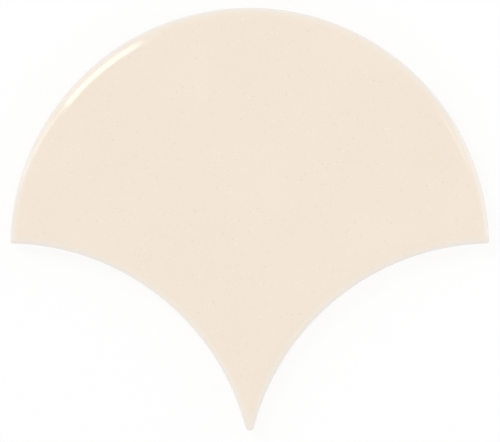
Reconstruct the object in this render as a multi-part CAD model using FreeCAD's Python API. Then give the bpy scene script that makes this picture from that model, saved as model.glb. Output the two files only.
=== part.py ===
import FreeCAD, Part
import math
import os

# Fish scale wall tile: a fan outline pressed in one piece, with a cushioned glazed face and a keyed back.
# Millimetres. The origin is the centre of the round head, on the plane of the back's ribs.
# +Y runs to the top of the head, and +Z comes out of the glazed face.

# Outline
HEAD_RADIUS = 60.0
JOINT = 2.0  # grout joint that the outline leaves to each neighbouring tile
TIP_RADIUS = 1.1
WING_RADIUS = 0.5

# Section
THICKNESS = 8.3
CUSHION_RADIUS = 7.0  # curve that takes the face down towards its edge
CUSHION_SLOPE = 25.0  # degrees, where the cushion runs into the arris
ARRIS_RADIUS = 1.0  # rounding between the cushion and the upright side
BACK_BEVEL = 0.8

# Keyed back
KEY_BORDER = 5.0  # plain land round the keys
KEY_WIDTH = 7.0
KEY_RIB = 3.0  # land between two keys
KEY_DEPTH = 0.8
KEY_DRAFT = 30.0  # degrees from upright

# Worked out
BAY_RADIUS = HEAD_RADIUS + JOINT
BAY_OFFSET = HEAD_RADIUS + JOINT / 2
SLOPE = math.radians(CUSHION_SLOPE)
CUSHION_WIDTH = CUSHION_RADIUS * math.sin(SLOPE) + ARRIS_RADIUS * (1 - math.sin(SLOPE))
CUSHION_DROP = CUSHION_RADIUS * (1 - math.cos(SLOPE)) + ARRIS_RADIUS * math.cos(SLOPE)
KEY_PITCH = KEY_WIDTH + KEY_RIB
WIDTH = 2 * HEAD_RADIUS
OUTSIDE = THICKNESS / 4  # how far a cutter stands clear of the tile

UP = FreeCAD.Vector(0, 0, 1)
ALONG_X = FreeCAD.Vector(1, 0, 0)
CENTRE = FreeCAD.Vector(0, 0, 0)
BELOW = UP * -OUTSIDE


class Circle:
    """A circle that the outline follows for part of its way. A hollow one has the tile outside it."""

    def __init__(self, centre, radius, hollow=False):
        self.centre = centre
        self.radius = radius
        self.hollow = hollow


def towards(start, goal, length):
    return start + (goal - start).normalize() * length


def crossing(a, radius_a, b, radius_b):
    """The crossing of two circles that lies to the left on the way from a to b."""
    ahead = (b - a).normalize()
    left = UP.cross(ahead)
    gap = a.distanceToPoint(b)
    along = (gap**2 + radius_a**2 - radius_b**2) / (2 * gap)
    return a + ahead * along + left * math.sqrt(radius_a**2 - along**2)


def outline_circles():
    """The six circles of the outline, anticlockwise from the head, each touching the next."""
    bay_left = FreeCAD.Vector(-BAY_OFFSET, -BAY_OFFSET, 0)
    bay_right = FreeCAD.Vector(BAY_OFFSET, -BAY_OFFSET, 0)
    beside_bay = BAY_RADIUS + WING_RADIUS
    inside_head = HEAD_RADIUS - WING_RADIUS
    beside_tip = BAY_RADIUS + TIP_RADIUS
    wing_left = crossing(bay_left, beside_bay, CENTRE, inside_head)
    wing_right = crossing(CENTRE, inside_head, bay_right, beside_bay)
    tip = crossing(bay_left, beside_tip, bay_right, beside_tip)
    return [
        Circle(CENTRE, HEAD_RADIUS),
        Circle(wing_left, WING_RADIUS),
        Circle(bay_left, BAY_RADIUS, hollow=True),
        Circle(tip, TIP_RADIUS),
        Circle(bay_right, BAY_RADIUS, hollow=True),
        Circle(wing_right, WING_RADIUS),
    ]


def touching_point(a, b):
    large, small = (a, b) if a.radius > b.radius else (b, a)
    return towards(large.centre, small.centre, large.radius)


def angle_at(circle, point):
    """The direction of a point from a circle's centre, in degrees."""
    return math.degrees(math.atan2(point.y - circle.centre.y, point.x - circle.centre.x))


def section_point(depth, height):
    """A point of the tile's section, given by its depth in from the outline and its height."""
    return FreeCAD.Vector(-depth, 0, height)


def section_arc(centre, radius, first, last):
    """Part of a circle in the section between two slopes: 0 is level, and a quarter turn is upright."""
    points = []
    for slope in (first, (first + last) / 2, last):
        points.append(centre + section_point(-radius * math.sin(slope), radius * math.cos(slope)))
    return Part.Arc(*points).toShape()


def sheet(corners):
    return Part.Face(Part.makePolygon(corners + corners[:1]))


def rim_section(depth):
    """The tile's section from its outline to the depth given: bevel, side, arris, cushion and face."""
    far = 2 * WIDTH
    shoulder_height = THICKNESS - CUSHION_DROP
    arris_centre = section_point(ARRIS_RADIUS, shoulder_height)
    cushion_centre = section_point(CUSHION_WIDTH, THICKNESS - CUSHION_RADIUS)
    foot = section_point(BACK_BEVEL, 0)
    knee = section_point(0, BACK_BEVEL)
    shoulder = section_point(0, shoulder_height)
    brow = section_point(CUSHION_WIDTH, THICKNESS)
    face_end = section_point(far, THICKNESS)
    back_end = section_point(far, 0)
    edges = [
        Part.makeLine(foot, knee),
        Part.makeLine(knee, shoulder),
        section_arc(arris_centre, ARRIS_RADIUS, math.pi / 2, SLOPE),
        section_arc(cushion_centre, CUSHION_RADIUS, SLOPE, 0),
        Part.makeLine(brow, face_end),
        Part.makeLine(face_end, back_end),
        Part.makeLine(back_end, foot),
    ]
    low = section_point(depth, -OUTSIDE)
    high = section_point(depth, THICKNESS + OUTSIDE)
    beyond = section_point(far, 0)
    too_deep = sheet([low, high, high + beyond, low + beyond])
    return Part.Face(Part.Wire(edges)).cut(too_deep).Faces[0]


def turned(circle, depth, start=0.0, angle=360.0):
    """A ring or disc with the tile's rim along the circle, or the part of it between two angles."""
    section = rim_section(depth)
    if circle.hollow:
        section = section.mirror(CENTRE, ALONG_X)
    section.translate(ALONG_X * circle.radius)
    section.rotate(CENTRE, UP, start)
    section.translate(circle.centre)
    return section.revolve(circle.centre, UP, angle)


def rounded_corner(body, before, circle, after):
    """The body with the corner at a small circle cut off square to its edges, and a turned one put there."""
    start = angle_at(circle, touching_point(before, circle))
    angle = (angle_at(circle, touching_point(circle, after)) - start) % 360
    corner = Part.makeCylinder(HEAD_RADIUS / 4, THICKNESS + 2 * OUTSIDE, circle.centre + BELOW, UP, angle)
    corner.rotate(circle.centre, UP, start)
    return body.cut(corner).fuse(turned(circle, circle.radius, start, angle))


def cushioned_body():
    """What a disc with a cushioned rim shares with two plates, each with a cushioned round hole for a bay."""
    head, wing_left, bay_left, tip, bay_right, wing_right = outline_circles()
    body = turned(head, head.radius)
    for bay in (bay_left, bay_right):
        body = body.common(turned(bay, WIDTH))
    body = rounded_corner(body, head, wing_left, bay_left)
    body = rounded_corner(body, bay_left, tip, bay_right)
    return rounded_corner(body, bay_right, wing_right, head)


def key_field():
    """The part of the back that may carry keys: everything further in than the plain border."""
    height = KEY_DEPTH + OUTSIDE
    field = Part.makeCylinder(HEAD_RADIUS - KEY_BORDER, height, BELOW)
    for circle in outline_circles():
        if circle.hollow:
            field = field.cut(Part.makeCylinder(circle.radius + KEY_BORDER, height, circle.centre + BELOW))
    return field


def key_bar(middle):
    """A bar right across the tile with the section of one key, narrower at its floor."""
    lean = math.tan(math.radians(KEY_DRAFT))
    mouth = KEY_WIDTH / 2 + OUTSIDE * lean
    floor = KEY_WIDTH / 2 - KEY_DEPTH * lean
    corners = [(-mouth, -OUTSIDE), (mouth, -OUTSIDE), (floor, KEY_DEPTH), (-floor, KEY_DEPTH)]
    points = [FreeCAD.Vector(-HEAD_RADIUS, middle + y, z) for y, z in corners]
    return sheet(points).extrude(ALONG_X * WIDTH)


def keys():
    """The keys that are long enough to be worth pressing, in rows with a rib through the head's centre."""
    field = key_field()
    rows = math.ceil(HEAD_RADIUS / KEY_PITCH)
    kept = []
    for row in range(-rows, rows):
        for key in key_bar((row + 0.5) * KEY_PITCH).common(field).Solids:
            if key.BoundBox.XLength > KEY_WIDTH:
                kept.append(key)
    return kept


def tile():
    return cushioned_body().cut(keys()).removeSplitter()


os.makedirs("parts", exist_ok=True)
tile().exportStep("parts/tile.step")
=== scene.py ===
import math

import bpy
import numpy as np
from mathutils import Color, Matrix, Vector, noise
from mathutils.geometry import delaunay_2d_cdt


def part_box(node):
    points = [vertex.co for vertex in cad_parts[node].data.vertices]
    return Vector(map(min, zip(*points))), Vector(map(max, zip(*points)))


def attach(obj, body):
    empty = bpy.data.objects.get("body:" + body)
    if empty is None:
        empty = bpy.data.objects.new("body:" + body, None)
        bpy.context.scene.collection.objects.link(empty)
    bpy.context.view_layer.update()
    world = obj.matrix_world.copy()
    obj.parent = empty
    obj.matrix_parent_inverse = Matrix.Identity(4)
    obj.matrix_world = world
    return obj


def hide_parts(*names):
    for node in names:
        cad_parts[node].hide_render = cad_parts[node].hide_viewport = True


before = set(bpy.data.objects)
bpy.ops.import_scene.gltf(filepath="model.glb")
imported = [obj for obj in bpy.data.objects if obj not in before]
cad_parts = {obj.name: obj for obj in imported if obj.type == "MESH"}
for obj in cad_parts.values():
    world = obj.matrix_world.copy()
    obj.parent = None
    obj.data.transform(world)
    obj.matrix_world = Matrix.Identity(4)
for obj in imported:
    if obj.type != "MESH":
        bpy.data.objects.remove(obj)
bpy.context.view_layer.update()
MM = 0.001

# Outline, in metres. The head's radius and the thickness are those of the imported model.
tile_low, tile_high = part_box("tile")
HEAD_RADIUS = tile_high.y
THICKNESS = tile_high.z
JOINT = 2.0 * MM  # the grout between the tile and its neighbours
TIP_RADIUS = 1.1 * MM
WING_RADIUS = 0.5 * MM
BAY_RADIUS = HEAD_RADIUS + JOINT  # a bay goes round a neighbour's head
BAY_OFFSET = HEAD_RADIUS + JOINT / 2

# Section of the rim
CUSHION_RADIUS = 7.0 * MM  # of the curve from the flat face down to the arris
SLOPE = math.radians(25)  # how steep the cushion is where the arris begins
ARRIS_RADIUS = 1.0 * MM  # of the rounding from there to the upright side
BACK_BEVEL = 0.8 * MM
CUSHION_RUN = CUSHION_RADIUS * math.sin(SLOPE)
ARRIS_RUN = ARRIS_RADIUS * (1 - math.sin(SLOPE))
RIM_WIDTH = CUSHION_RUN + ARRIS_RUN
RIM_DROP = CUSHION_RADIUS * (1 - math.cos(SLOPE)) + ARRIS_RADIUS * math.cos(SLOPE)
SHOULDER = THICKNESS - RIM_DROP  # the height at which the upright side ends

# Keyed back
KEY_BORDER = 5.0 * MM  # the plain border between the outline and the keys
KEY_WIDTH = 7.0 * MM
KEY_PITCH = 10.0 * MM
KEY_DEPTH = 0.8 * MM

# A key's softly pressed wall, from its lip inwards: how far out its long sides and its ends are there,
# and the share of the key's depth
KEY_WALL = [
    (0.25 * MM, 0.25 * MM, 0.0),
    (0.05 * MM, 0.05 * MM, 0.1),
    (-0.36 * MM, -0.12 * MM, 0.9),
    (-0.70 * MM, -0.40 * MM, 1.0),
]
KEY_WANDER = 0.08 * MM  # how far the pressed walls stray from straight lines
KEY_WANDER_LENGTH = 18.0 * MM
KEY_WANDER_SLICE = 5.3

# Glaze
GLAZE_SKIN = 0.10 * MM  # how far the glaze on the side stands proud of the clay
GLAZE_REACH = 2.2 * MM  # how far it runs down the side on average
GLAZE_WANDER = 0.8 * MM  # how far its end strays from there
WANDER_LENGTH = 9.0 * MM
WANDER_SLICE = 0.0  # which slice of the noise its slow waves follow
TREMBLE = 0.35  # how strong the quick waves of its end are beside the slow ones
TREMBLE_LENGTH = 2.5 * MM
TREMBLE_SLICE = 2.0
RIPPLE = 0.012 * MM  # how far the slow waves of the face go up and down
RIPPLE_LENGTH = 14.0 * MM
RIPPLE_SLICE = 3.7
LEVELLING = 0.9 * MM  # how far the molten glaze evens out a ridge
THIN_GLAZE_AND_SHEEN = 1.0 * MM  # how far below the face the glaze is thinnest and the painted sheen on the rim is strongest
THIN_AND_SHEEN_BAND = 0.8 * MM  # how far up and down from there the glaze is thinner than elsewhere and the painted sheen reaches
BEVEL_TOP = BACK_BEVEL - GLAZE_SKIN  # the height at which the bare side meets the bevel

# Mesh
OUTLINE_STEP = 0.6 * MM
LEAST_ARC_STEPS = 6  # on the small roundings
FACE_STEP = 1.6 * MM
ROW_SHARE = math.sqrt(3) / 2  # how far apart the face's rows are, as a share of its step
KEY_STEP = 1.5 * MM
LEAST_KEY_STEPS = 2  # on each of a key's arcs
ARRIS_RINGS = 8
CUSHION_RINGS = 10
LAST_RING = RIM_WIDTH + LEVELLING / 2
BEVEL_RINGS = (0.5, 0.9, 1.2, 2.0)  # how deep in they are, as shares of the bevel
PATCH_RINGS = (0.5, 1.0)  # circles of points, over which a ridge is evened out
PATCH_POINTS = 10  # on each of those circles
PATCH_SHARE = 0.7  # how much of the way to the outline they may reach
GLAZED_ROWS = (0.3, 0.6, 0.85)  # shares of the way from the shoulder to the end of the glaze
LIP_ROWS = [(0.15, 0.16 * MM), (0.5, 0.05 * MM), (1.0, 0.0)]  # share of the skin lost, height above the end
BARE_ROWS = (0.25, 0.5, 0.75)  # shares of the way from there to the bevel
GLAZED, BARE = 0, 1  # the numbers of the tile's materials
INSIDE_LOOPS = 1  # the kind of triangulation that fills closed loops
TINY = 1e-9  # how near together two points are one
DEPTH_SLACK = 1e-7  # how much of a depth rounding may lose
TURN_SLACK = 1e-6  # and how much of an angle

# Stage. The middle of the picture and its width are given at the height of the shoulder.
AIM = Vector((0.08 * MM, 6.59 * MM, SHOULDER))
FRAME_WIDTH = 125.25 * MM
CAMERA_DISTANCE = 1.6
FLOOR_HALF = 3.0
FLOOR_GAP = 0.1 * MM  # keeps the floor's surface and the ribs of the back apart
PAPER_GLOW = 0.86  # how much of the floor's white doesn't take the shadow
SKY_LEVEL = 0.709
FLOOR_LEVEL = 1.0
HORIZON = 0.05  # how far above and below level the one passes into the other
CEILING = 1.0  # how high above the face the panels hang
STRIP_REACH = 0.4  # how far out from the rim the strips stand


class Circle:
    """A circle that the outline follows for part of its way. A hollow one has the tile outside it."""

    def __init__(self, x, y, radius, hollow=False):
        self.centre = np.array([x, y])
        self.radius = radius
        self.hollow = hollow


def crossing(a, radius_a, b, radius_b):
    """The crossing of two circles that lies to the left on the way from a to b."""
    gap = np.linalg.norm(b - a)
    ahead = (b - a) / gap
    left = np.array([-ahead[1], ahead[0]])
    along = (gap**2 + radius_a**2 - radius_b**2) / (2 * gap)
    return a + ahead * along + left * math.sqrt(radius_a**2 - along**2)


def outline_circles():
    """The six circles of the outline, anticlockwise from the head, each touching the next."""
    centre = np.zeros(2)
    left = np.array([-BAY_OFFSET, -BAY_OFFSET])
    right = np.array([BAY_OFFSET, -BAY_OFFSET])
    wing_left = crossing(left, BAY_RADIUS + WING_RADIUS, centre, HEAD_RADIUS - WING_RADIUS)
    wing_right = crossing(centre, HEAD_RADIUS - WING_RADIUS, right, BAY_RADIUS + WING_RADIUS)
    tip = crossing(left, BAY_RADIUS + TIP_RADIUS, right, BAY_RADIUS + TIP_RADIUS)
    return [
        Circle(*centre, HEAD_RADIUS),
        Circle(*wing_left, WING_RADIUS),
        Circle(*left, BAY_RADIUS, hollow=True),
        Circle(*tip, TIP_RADIUS),
        Circle(*right, BAY_RADIUS, hollow=True),
        Circle(*wing_right, WING_RADIUS),
    ]


CIRCLES = outline_circles()
HEAD, _, _, _, RIGHT_BAY, _ = CIRCLES


def touching_point(a, b):
    """Where two circles that touch each other meet."""
    large, small = (a, b) if a.radius > b.radius else (b, a)
    way = small.centre - large.centre
    return large.centre + way * large.radius / np.linalg.norm(way)


def arc_ends(index):
    """The directions from a circle's centre between which the outline follows it, in its own order."""
    circle = CIRCLES[index]
    before = touching_point(CIRCLES[index - 1], circle) - circle.centre
    after = touching_point(circle, CIRCLES[(index + 1) % len(CIRCLES)]) - circle.centre
    start = math.atan2(before[1], before[0])
    end = math.atan2(after[1], after[0])
    if circle.hollow:
        return start, start - (start - end) % math.tau
    return start, start + (end - start) % math.tau


def outline():
    """Points along the outline, anticlockwise, and the way inwards at each."""
    points, inwards = [], []
    for index, circle in enumerate(CIRCLES):
        start, end = arc_ends(index)
        count = max(LEAST_ARC_STEPS, math.ceil(abs(end - start) * circle.radius / OUTLINE_STEP))
        angles = np.linspace(start, end, count, endpoint=False)
        out = np.stack([np.cos(angles), np.sin(angles)], 1)
        points.append(circle.centre + out * circle.radius)
        inwards.append(out if circle.hollow else -out)
    return np.concatenate(points), np.concatenate(inwards)


def depth_in(points):
    """How far in from the outline each point is."""
    depth = np.full(len(points), np.inf)
    for index, circle in enumerate(CIRCLES):
        away = points - circle.centre
        reach = np.linalg.norm(away, axis=1)
        if circle.hollow:
            depth = np.minimum(depth, reach - circle.radius)
        elif circle is HEAD:
            depth = np.minimum(depth, circle.radius - reach)
        else:
            start, end = arc_ends(index)
            turn = np.arctan2(away[:, 1], away[:, 0]) - (start + end) / 2
            turn = np.abs((turn + math.pi) % math.tau - math.pi)
            ahead = turn <= (end - start) / 2 + TURN_SLACK
            depth = np.where(ahead, np.minimum(depth, circle.radius - reach), depth)
    return depth


def drop_at(depth):
    """How far the rim lies below the face at a depth in from the outline."""
    run = np.clip(RIM_WIDTH - depth, 0, CUSHION_RUN)
    cushion = CUSHION_RADIUS - np.sqrt(CUSHION_RADIUS**2 - run**2)
    over = ARRIS_RADIUS - np.clip(depth, 0, ARRIS_RUN)
    arris = RIM_DROP - np.sqrt(np.maximum(ARRIS_RADIUS**2 - over**2, 0))
    return np.where(depth < ARRIS_RUN, arris, cushion)


def levelled_drop(points):
    """The rim's drop, evened out over a small patch that shrinks to nothing at the outline."""
    depth = depth_in(points)
    reach = np.minimum(LEVELLING, PATCH_SHARE * np.maximum(depth, 0))
    drops = [drop_at(depth)]
    for ring in PATCH_RINGS:
        for angle in np.linspace(0, math.tau, PATCH_POINTS, endpoint=False):
            step = np.array([math.cos(angle), math.sin(angle)]) * ring
            drops.append(drop_at(depth_in(points + reach[:, None] * step)))
    return np.mean(drops, axis=0)


def waves(points, length, slice_at):
    """Smooth noise at each point, about as long as given, from one slice of a field."""
    return np.array([noise.noise(Vector((x / length, y / length, slice_at))) for x, y in points])


def ripple(points):
    """Slow waves in the glaze, from 0 down to twice the ripple."""
    return RIPPLE * (1 + np.clip(waves(points, RIPPLE_LENGTH, RIPPLE_SLICE), -1, 1))


def rings(points, inwards, depths):
    """Points further in along the outline's normals, without those that come nearer to another edge."""
    found = []
    for depth in depths:
        moved = points + inwards * depth
        found.append(moved[depth_in(moved) > depth - DEPTH_SLACK])
    return np.concatenate(found)


def field(step, least_depth):
    """A regular field of points in rows, all at least so deep in."""
    rows = np.arange(tile_low.y, tile_high.y, step * ROW_SHARE)
    columns = np.arange(tile_low.x, tile_high.x, step)
    grid = np.array([(x + step / 2 * (i % 2), y) for i, y in enumerate(rows) for x in columns])
    return grid[depth_in(grid) > least_depth]


def loop_edges(start, count):
    """Pairs of numbers round a closed loop of so many points."""
    return [(start + i, start + (i + 1) % count) for i in range(count)]


def triangulated(points, edges):
    """Places and triangles inside closed loops of edges, and the number that each point has there."""
    found, _, triangles, sources, _, _ = delaunay_2d_cdt(
        [Vector(p) for p in points], edges, [], INSIDE_LOOPS, TINY
    )
    numbers = np.zeros(len(points), int)
    for number, merged in enumerate(sources):
        numbers[merged] = number
    return np.array([tuple(v) for v in found]), [tuple(t) for t in triangles], numbers


def upright(triangle, places):
    """The triangle in anticlockwise order."""
    a, b, c = (places[i] for i in triangle)
    turn = (b[0] - a[0]) * (c[1] - a[1]) - (b[1] - a[1]) * (c[0] - a[0])
    return triangle if turn > 0 else triangle[::-1]


def rim_depths():
    """Depths of the rings along the arris and the cushion, at even steps of slope."""
    arris_slopes = np.linspace(math.pi / 2, SLOPE, ARRIS_RINGS + 1)[1:]
    cushion_slopes = np.linspace(SLOPE, 0, CUSHION_RINGS + 1)[1:]
    arris = [ARRIS_RADIUS * (1 - math.sin(a)) for a in arris_slopes]
    cushion = [RIM_WIDTH - CUSHION_RADIUS * math.sin(a) for a in cushion_slopes]
    return arris + cushion + [LAST_RING]


def face_surface(points, inwards):
    """The glazed face with its cushion and arris: places, triangles and the numbers of its outline."""
    inner = rings(points, inwards, rim_depths())
    middle = field(FACE_STEP, LAST_RING + FACE_STEP / 2)
    flat = np.concatenate([points, inner, middle])
    places, triangles, numbers = triangulated(flat, loop_edges(0, len(points)))
    rim = numbers[: len(points)]
    fade = np.clip(depth_in(places) / RIM_WIDTH, 0, 1)
    heights = THICKNESS - levelled_drop(places) - ripple(places) * fade
    heights[rim] = SHOULDER
    return np.column_stack([places, heights]), [upright(t, places) for t in triangles], rim


def key_half_length(y):
    """Half the width, at a height on the back, of what lies inside the border."""
    half = math.sqrt(max(0.0, (HEAD_RADIUS - KEY_BORDER) ** 2 - y**2))
    bay = (BAY_RADIUS + KEY_BORDER) ** 2 - (y + BAY_OFFSET) ** 2
    if bay > 0:
        half = min(half, BAY_OFFSET - math.sqrt(bay))
    return half


def flank(centre, radius, side, low, high):
    """Points up one side of a circle between two heights, evenly along its arc."""
    start, end = (math.asin(min(1.0, (y - centre[1]) / radius)) for y in (low, high))
    count = max(LEAST_KEY_STEPS, math.ceil((end - start) * radius / KEY_STEP))
    angles = np.linspace(start, end, count + 1)
    return [(centre[0] + side * radius * math.cos(a), centre[1] + radius * math.sin(a)) for a in angles]


def key_loop(low, high, border):
    """A key's outline between two heights, anticlockwise. The head's arc closes it where that is lower."""
    head_radius = HEAD.radius - border
    bay_radius = RIGHT_BAY.radius + border
    crown = min(high, head_radius)
    corner = crossing(HEAD.centre, head_radius, RIGHT_BAY.centre, bay_radius)[1]
    right = []
    if low < corner:
        right = flank(RIGHT_BAY.centre, bay_radius, -1, low, min(crown, corner))
    if crown > corner:
        right = right[:-1] + flank(HEAD.centre, head_radius, 1, max(low, corner), crown)
    left = [(-x, y) for x, y in reversed(right) if x > TINY]
    half_bottom, half_top = right[0][0], right[-1][0]
    top = [(x, crown) for x in np.arange(half_top - KEY_STEP, -half_top, -KEY_STEP)]
    bottom = [(x, low) for x in np.arange(KEY_STEP - half_bottom, half_bottom, KEY_STEP)]
    return right + top + left + bottom


def key_loops():
    """The loops down the walls of all keys, each with its height above the ribs."""
    rows = math.ceil(HEAD_RADIUS / KEY_PITCH)
    loops = []
    for row in range(-rows, rows):
        middle = (row + 0.5) * KEY_PITCH
        widest = max(key_half_length(middle + side * KEY_WIDTH / 2) for side in (-1, 0, 1))
        if 2 * widest < KEY_WIDTH:
            continue
        for side_out, end_out, sunk in KEY_WALL:
            half = KEY_WIDTH / 2 + side_out
            loop = np.array(key_loop(middle - half, middle + half, KEY_BORDER - end_out))
            loop[:, 1] += KEY_WANDER * waves(loop, KEY_WANDER_LENGTH, KEY_WANDER_SLICE)
            loops.append((loop, sunk * KEY_DEPTH))
    return loops


def back_surface(points, inwards):
    """The keyed back with its bevel: places, triangles and the numbers of its outline."""
    flat = [points + inwards * GLAZE_SKIN]
    heights = [np.full(len(points), BEVEL_TOP)]
    edges = loop_edges(0, len(points))
    count = len(points)
    for loop, height in key_loops():
        flat.append(loop)
        heights.append(np.full(len(loop), height))
        edges += loop_edges(count, len(loop))
        count += len(loop)
    bevel = rings(points, inwards, [BACK_BEVEL * share for share in BEVEL_RINGS])
    flat.append(bevel)
    heights.append(np.maximum(BACK_BEVEL - depth_in(bevel), 0))
    places, triangles, numbers = triangulated(np.concatenate(flat), edges)
    rise = np.zeros(len(places))
    rise[numbers] = np.concatenate(heights)
    downwards = [upright(t, places)[::-1] for t in triangles]
    return np.column_stack([places, rise]), downwards, numbers[: len(points)]


def glaze_line(points):
    """The height on the side where the glaze ends, which wanders along the outline."""
    slow = waves(points, WANDER_LENGTH, WANDER_SLICE)
    quick = waves(points, TREMBLE_LENGTH, TREMBLE_SLICE)
    return SHOULDER - GLAZE_REACH - GLAZE_WANDER * (slow + TREMBLE * quick)


def side_rows(points, inwards):
    """Rows of points down the side: those of the glaze, to its rounded lip, and those of the bare clay."""
    line = glaze_line(points)

    def row(skin_lost, heights):
        return np.column_stack([points + inwards * GLAZE_SKIN * skin_lost, heights])

    glazed = [row(0.0, SHOULDER + (line - SHOULDER) * share) for share in GLAZED_ROWS]
    glazed += [row(skin_lost, line + above) for skin_lost, above in LIP_ROWS]
    bare = [row(1.0, line + (BEVEL_TOP - line) * share) for share in BARE_ROWS]
    return glazed, bare


def band(upper, lower):
    """Faces round the side between two rows of point numbers."""
    return [(upper[i], lower[i], lower[j], upper[j]) for i, j in loop_edges(0, len(upper))]


def tile_mesh():
    """One closed mesh, glazed on the face and part of the side, and bare below and on the back."""
    points, inwards = outline()
    face, face_triangles, face_rim = face_surface(points, inwards)
    back, back_triangles, back_rim = back_surface(points, inwards)
    glazed, bare = side_rows(points, inwards)
    rows = glazed + bare
    back_start = len(face)
    row_start = back_start + len(back)

    faces = face_triangles + [tuple(i + back_start for i in t) for t in back_triangles]
    materials = [GLAZED] * len(face_triangles) + [BARE] * len(back_triangles)
    numbers = row_start + np.arange(len(rows) * len(points)).reshape(len(rows), len(points))
    levels = [face_rim.tolist()] + numbers.tolist() + [(back_rim + back_start).tolist()]
    for level in range(len(rows) + 1):
        faces += band(levels[level], levels[level + 1])
        materials += [GLAZED if level < len(glazed) else BARE] * len(points)

    mesh = bpy.data.meshes.new("glazed_tile")
    mesh.from_pydata(np.concatenate([face, back] + rows).tolist(), [], faces)
    mesh.polygons.foreach_set("material_index", materials)
    mesh.polygons.foreach_set("use_smooth", [True] * len(faces))
    mesh.validate()
    mesh.update()
    return mesh


# The colour sockets of a mixing node, which has more of the same names
MIX_SHARE, MIX_FIRST, MIX_SECOND, MIX_RESULT = 0, 6, 7, 2


class Nodes:
    """A short way to write the nodes of a material or a world."""

    def __init__(self, owner):
        self.owner = owner
        owner.use_nodes = True
        self.tree = owner.node_tree
        self.tree.nodes.clear()

    def add(self, kind, links=None, **settings):
        """A node with its settings. Each link is a number, a colour or another node's socket."""
        node = self.tree.nodes.new(kind)
        for name, value in settings.items():
            setattr(node, name, value)
        for name, value in (links or {}).items():
            if isinstance(value, bpy.types.NodeSocket):
                self.tree.links.new(value, node.inputs[name])
            else:
                node.inputs[name].default_value = value
        return node

    def finish(self, shader):
        of_world = isinstance(self.owner, bpy.types.World)
        kind = "ShaderNodeOutputWorld" if of_world else "ShaderNodeOutputMaterial"
        self.add(kind, {"Surface": shader.outputs[0]})
        return self.owner

    def place(self):
        return self.add("ShaderNodeTexCoord").outputs["Object"]

    def height(self, place):
        return self.add("ShaderNodeSeparateXYZ", {"Vector": place}).outputs["Z"]

    def noise(self, size, detail, rough=0.5):
        links = {"Vector": self.place(), "Scale": 1 / size, "Detail": detail, "Roughness": rough}
        return self.add("ShaderNodeTexNoise", links).outputs["Fac"]

    def calculate(self, operation, *values, clamp=False):
        links = dict(enumerate(values))
        return self.add("ShaderNodeMath", links, operation=operation, use_clamp=clamp).outputs[0]

    def any_of(self, first, *others):
        """1 where any of the values is 1."""
        for other in others:
            first = self.calculate("ADD", first, other, clamp=True)
        return first

    def seen(self):
        """1 for what the camera sees, straight, in a gloss or through glass."""
        path = self.add("ShaderNodeLightPath").outputs
        return self.any_of(path["Is Camera Ray"], path["Is Glossy Ray"], path["Is Transmission Ray"])

    def spread(self, value, source, target=(0.0, 1.0)):
        """The value carried over from one range to another, beyond which it doesn't go."""
        links = {"Value": value, "From Min": source[0], "From Max": source[1]}
        links.update({"To Min": target[0], "To Max": target[1]})
        return self.add("ShaderNodeMapRange", links).outputs["Result"]

    def mix(self, share, first, second):
        links = {MIX_SHARE: share, MIX_FIRST: first, MIX_SECOND: second}
        return self.add("ShaderNodeMix", links, data_type="RGBA").outputs[MIX_RESULT]

    def bump(self, height, strength, distance):
        links = {"Height": height, "Strength": strength, "Distance": distance}
        return self.add("ShaderNodeBump", links).outputs["Normal"]

    def blend(self, share, first, second):
        links = {0: share, 1: first.outputs[0], 2: second.outputs[0]}
        return self.add("ShaderNodeMixShader", links)

    def surface(self, tint, rough, skin, ior):
        links = {"Base Color": tint, "Roughness": rough, "Normal": skin, "IOR": ior}
        return self.add("ShaderNodeBsdfPrincipled", links)


def colour(red, green, blue):
    """A colour as written on screen, from 0 to 255, in linear light."""
    return *Color((red / 255, green / 255, blue / 255)).from_srgb_to_scene_linear(), 1.0


WHITE = (1.0, 1.0, 1.0, 1.0)
MOST_NOISE = (0.3, 0.7)  # the range of most of a noise's values

# Colours of the glaze, the sizes of its noise and their ranges
CREAM = colour(243.5, 229.2, 211.5)
PALE_CREAM = colour(244.5, 231.2, 214.5)
# Paler cream where the glaze thins over the arris, partly a painted sheen standing in for the rim's whiter
# highlights
THIN_CREAM_AND_SHEEN = colour(244.0, 238.0, 232.0)
DARK_FLECK = colour(236.0, 221.0, 203.0)
PALE_FLECK = colour(248.5, 237.5, 223.5)
DARK_FLECK_NOISE = (0.76, 0.84)
PALE_FLECK_NOISE = (0.24, 0.16)
MOTTLE_SIZE = 16.0 * MM
FLECK_SIZE = 0.5 * MM
SHEEN_SIZE = 3.0 * MM
SKIN_SIZE = 2.5 * MM
SKIN_HEIGHT = 0.02 * MM
SKIN_STRENGTH = 0.04
GLAZE_ROUGHNESS = (0.06, 0.09)
GLAZE_IOR = 1.5

# Colours of the clay, the sizes of its noise and their ranges
CLAY = colour(221.0, 203.0, 180.0)
PALE_CLAY = colour(231.0, 216.0, 196.0)
CLOUD_SIZE = 9.0 * MM
GRAIN = colour(198.0, 176.0, 150.0)
GRAIN_SIZE = 0.35 * MM
GRAIN_HEIGHT = 0.06 * MM
GRAIN_STRENGTH = 0.5
GRAIN_NOISE = (0.58, 0.75)
GRAIN_SHARE = (0.0, 0.5)
IRON = colour(150.0, 118.0, 92.0)
IRON_SIZE = 0.8 * MM
IRON_NOISE = (0.73, 0.78)
IRON_SHARE = (0.0, 0.7)
BLOOM = colour(240.0, 234.0, 224.0)
BLOOM_SIZE = 3.0 * MM
BLOOM_NOISE = (0.35, 0.65)
BLOOM_SHARE = (0.25, 0.75)
BLOOM_HEIGHTS = (0.05 * MM, 0.12 * MM)  # between these above the ribs it fades out
CLAY_ROUGHNESS = (0.78, 0.92)
CLAY_IOR = 1.5


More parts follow.
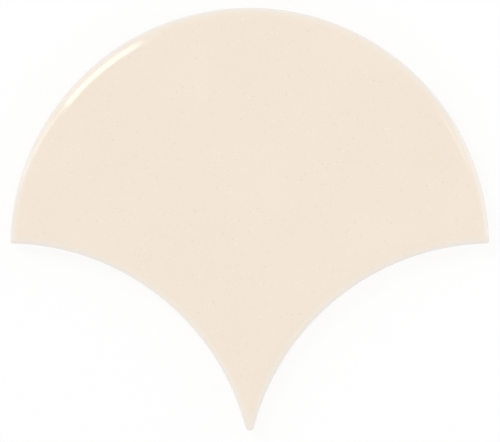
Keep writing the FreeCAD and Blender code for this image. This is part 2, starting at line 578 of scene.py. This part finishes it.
def cream_glaze():
    """Glossy opaque glaze with a faint mottle, flecks and an uneven skin, paler where it is thin and where
    a painted sheen lies along the rim.
    """
    n = Nodes(bpy.data.materials.new("cream_glaze"))
    mottle = n.spread(n.noise(MOTTLE_SIZE, detail=3.0), MOST_NOISE)
    tint = n.mix(mottle, CREAM, PALE_CREAM)
    # Paler in a band round the rim: the glaze thins there, and partly this is a painted sheen for the rim's
    # whiter highlights
    above_palest = n.calculate("SUBTRACT", n.height(n.place()), THICKNESS - THIN_GLAZE_AND_SHEEN)
    thinness_and_sheen = n.spread(n.calculate("ABSOLUTE", above_palest), (0.0, THIN_AND_SHEEN_BAND), (1.0, 0.0))
    tint = n.mix(thinness_and_sheen, tint, THIN_CREAM_AND_SHEEN)
    flecks = n.noise(FLECK_SIZE, detail=0.0)
    tint = n.mix(n.spread(flecks, DARK_FLECK_NOISE), tint, DARK_FLECK)
    tint = n.mix(n.spread(flecks, PALE_FLECK_NOISE), tint, PALE_FLECK)
    rough = n.spread(n.noise(SHEEN_SIZE, detail=3.0), MOST_NOISE, GLAZE_ROUGHNESS)
    skin = n.bump(n.noise(SKIN_SIZE, detail=1.0), SKIN_STRENGTH, SKIN_HEIGHT)
    return n.finish(n.surface(tint, rough, skin, GLAZE_IOR))


def bare_clay():
    """Pale fired clay with grain, iron specks and a chalky bloom on the ribs it was fired on."""
    n = Nodes(bpy.data.materials.new("bare_clay"))
    cloud = n.spread(n.noise(CLOUD_SIZE, detail=4.0), MOST_NOISE)
    tint = n.mix(cloud, CLAY, PALE_CLAY)
    grain = n.noise(GRAIN_SIZE, detail=3.0, rough=0.7)
    tint = n.mix(n.spread(grain, GRAIN_NOISE, GRAIN_SHARE), tint, GRAIN)
    specks = n.noise(IRON_SIZE, detail=1.0)
    tint = n.mix(n.spread(specks, IRON_NOISE, IRON_SHARE), tint, IRON)
    on_ribs = n.spread(n.height(n.place()), BLOOM_HEIGHTS, (1.0, 0.0))
    patches = n.spread(n.noise(BLOOM_SIZE, detail=5.0, rough=0.65), BLOOM_NOISE, BLOOM_SHARE)
    tint = n.mix(n.calculate("MULTIPLY", on_ribs, patches), tint, BLOOM)
    rough = n.spread(grain, MOST_NOISE, CLAY_ROUGHNESS)
    skin = n.bump(grain, GRAIN_STRENGTH, GRAIN_HEIGHT)
    return n.finish(n.surface(tint, rough, skin, CLAY_IOR))


def add_object(name, data):
    made = bpy.data.objects.new(name, data)
    bpy.context.scene.collection.objects.link(made)
    return made


def add_tile():
    mesh = tile_mesh()
    mesh.materials.append(cream_glaze())
    mesh.materials.append(bare_clay())
    tile = add_object("glazed_tile", mesh)
    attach(tile, "root")
    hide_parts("tile")


def white_floor():
    """White and matt. Seen straight or mirrored it is white paper, with the shadow left faintly on it.

    Scattered light passes through it, because the world below gives the tile the light of a white floor.
    So does a view from below.
    """
    n = Nodes(bpy.data.materials.new("white_floor"))
    matt = n.add("ShaderNodeBsdfDiffuse", {"Color": WHITE})
    glow = n.add("ShaderNodeEmission", {"Color": WHITE, "Strength": 1.0})
    paper = n.blend(n.calculate("MULTIPLY", n.seen(), PAPER_GLOW), matt, glow)
    path = n.add("ShaderNodeLightPath").outputs
    below = n.add("ShaderNodeNewGeometry").outputs["Backfacing"]
    through = n.any_of(below, path["Is Diffuse Ray"], path["Is Shadow Ray"])
    return n.finish(n.blend(through, paper, n.add("ShaderNodeBsdfTransparent")))


def add_floor():
    across = (-FLOOR_HALF, FLOOR_HALF)
    corners = [(x, y, -FLOOR_GAP) for x in across for y in across]
    mesh = bpy.data.meshes.new("floor")
    mesh.from_pydata(corners, [], [(0, 2, 3, 1)])
    mesh.materials.append(white_floor())
    add_object("floor", mesh)


def add_world():
    """White where it is seen or mirrored. It lights from above as a sky, and from below as a floor."""
    n = Nodes(bpy.data.worlds.new("studio"))
    way = n.add("ShaderNodeTexCoord").outputs["Generated"]
    light = n.spread(n.height(way), (-HORIZON, HORIZON), (FLOOR_LEVEL, SKY_LEVEL))
    strength = n.spread(n.seen(), (0.0, 1.0), (light, 1.0))
    background = n.add("ShaderNodeBackground", {"Color": WHITE, "Strength": strength})
    bpy.context.scene.world = n.finish(background)


def add_lamp(name, wide, high, level):
    """A soft box of even brightness that faces down until it is turned.

    At a level of 1 it is as bright as white paper.
    """
    light = bpy.data.lights.new(name, "AREA")
    light.shape = "RECTANGLE"
    light.size = wide
    light.size_y = high
    light.energy = level * math.pi * wide * high
    lamp = add_object(name, light)
    lamp.visible_camera = False
    return lamp


def add_standing_strip(name, azimuth, half_wide, bottom, top, level):
    """An upright strip that the rim mirrors about one azimuth.

    Its bottom and top are given as the rim sees them, in degrees from straight up.
    """
    turn = math.radians(azimuth)
    out = Vector((math.cos(turn), math.sin(turn), 0))
    along_rim = Vector((-out.y, out.x, 0))
    upwards = Vector((0, 0, 1))
    low, high = (STRIP_REACH / math.tan(math.radians(angle)) for angle in (bottom, top))
    lamp = add_lamp(name, 2 * half_wide, high - low, level)
    lamp.location = out * (HEAD_RADIUS + STRIP_REACH) + upwards * (THICKNESS + (low + high) / 2)
    lamp.rotation_euler = Matrix((along_rim, upwards, out)).transposed().to_euler()


def add_ceiling_panel(name, low, high, level):
    """A panel between two corners in the plane of the ceiling."""
    lamp = add_lamp(name, high[0] - low[0], high[1] - low[1], level)
    middle = (Vector(low) + Vector(high)) / 2
    lamp.location = (middle.x, middle.y, THICKNESS + CEILING)


def add_camera():
    """Straight above the tile, with a long lens."""
    data = bpy.data.cameras.new("camera")
    data.lens = data.sensor_width * CAMERA_DISTANCE / FRAME_WIDTH
    camera = add_object("camera", data)
    camera.location = AIM + Vector((0, 0, CAMERA_DISTANCE))
    bpy.context.scene.camera = camera


add_tile()
add_floor()
add_world()
# The bright band along the rim at the upper left, and its fainter foot
add_standing_strip("key", azimuth=130.5, half_wide=0.097, bottom=36.0, top=14.8, level=5.0)
add_standing_strip("key_base", azimuth=133.0, half_wide=0.073, bottom=62.0, top=36.0, level=0.8)
# The faint bands close to the outline at both sides
add_standing_strip("left_base", azimuth=152.0, half_wide=0.090, bottom=85.0, top=41.0, level=0.6)
add_standing_strip("right_base", azimuth=15.0, half_wide=0.132, bottom=85.0, top=43.0, level=1.0)
# The thin lines further in at both sides
add_ceiling_panel("left", low=(-1.60, 0.33), high=(-0.40, 0.46), level=1.9)
add_ceiling_panel("right", low=(0.47, 0.22), high=(0.69, 0.36), level=1.6)
# The soft light on the rims of the bays
add_ceiling_panel("front", low=(-1.60, -1.80), high=(1.60, -0.40), level=0.25)
add_ceiling_panel("front_left", low=(-0.90, -0.40), high=(-0.05, -0.10), level=0.15)
add_camera()
bpy.context.scene.view_settings.view_transform = "Standard"
